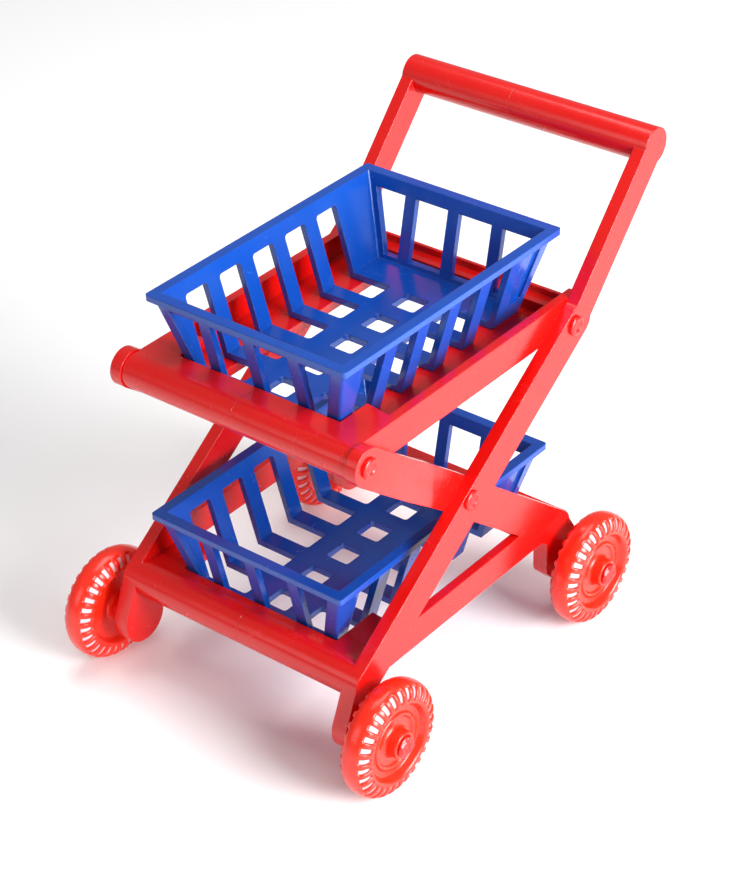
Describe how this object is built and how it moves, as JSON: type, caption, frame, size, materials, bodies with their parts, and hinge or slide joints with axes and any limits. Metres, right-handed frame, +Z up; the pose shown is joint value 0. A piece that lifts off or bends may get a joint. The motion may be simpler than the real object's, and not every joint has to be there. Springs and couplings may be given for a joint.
{
  "type": "toy shopping trolley",
  "caption": "Moulded toy shopping trolley with a round handle, two lift-out slatted baskets and wheels that roll on stub axles.",
  "frame": {"origin": "on the floor, at the middle of the bounding box", "axes": "+X to the trolley's right seen from behind the handle, +Y to the rear where the handle is, +Z up"},
  "size_m": [0.1254, 0.1702, 0.1518],
  "materials": {
    "frame_plastic": "glossy moulded plastic",
    "wheel_plastic": "glossy moulded plastic",
    "basket_plastic": "glossy moulded plastic"
  },
  "bodies": {
    "frame": {"side_frame_left": "frame_plastic", "side_frame_right": "frame_plastic", "deck_left": "frame_plastic", "deck_right": "frame_plastic", "strut_left": "frame_plastic", "strut_right": "frame_plastic", "axle_front_left": "frame_plastic", "axle_front_right": "frame_plastic", "axle_rear_left": "frame_plastic", "axle_rear_right": "frame_plastic", "pin_front_left": "frame_plastic", "pin_front_right": "frame_plastic", "pin_middle_left": "frame_plastic", "pin_middle_right": "frame_plastic", "pin_rear_left": "frame_plastic", "pin_rear_right": "frame_plastic"},
    "basket_upper": {"basket_upper": "basket_plastic"},
    "basket_lower": {"basket_lower": "basket_plastic"},
    "wheel_front_left": {"wheel_front_left": "wheel_plastic"},
    "wheel_front_right": {"wheel_front_right": "wheel_plastic"},
    "wheel_rear_left": {"wheel_rear_left": "wheel_plastic"},
    "wheel_rear_right": {"wheel_rear_right": "wheel_plastic"}
  },
  "joints": [
    {"name": "wheel_front_left_spin", "type": "hinge", "parent": "frame", "child": "wheel_front_left", "pos_m": [-0.0549, -0.0666, 0.0185], "axis": [1, 0, 0], "continuous": true},
    {"name": "wheel_front_right_spin", "type": "hinge", "parent": "frame", "child": "wheel_front_right", "pos_m": [0.0549, -0.0666, 0.0185], "axis": [1, 0, 0], "continuous": true},
    {"name": "wheel_rear_left_spin", "type": "hinge", "parent": "frame", "child": "wheel_rear_left", "pos_m": [-0.0549, 0.03731, 0.0185], "axis": [1, 0, 0], "continuous": true},
    {"name": "wheel_rear_right_spin", "type": "hinge", "parent": "frame", "child": "wheel_rear_right", "pos_m": [0.0549, 0.03731, 0.0185], "axis": [1, 0, 0], "continuous": true},
    {"name": "basket_upper_lift", "type": "slide", "parent": "frame", "child": "basket_upper", "axis": [0, 0, 1], "range_m": [0, 0.06]},
    {"name": "basket_lower_lift", "type": "slide", "parent": "frame", "child": "basket_lower", "axis": [0, 0, 1], "range_m": [0, 0.04]}
  ]
}
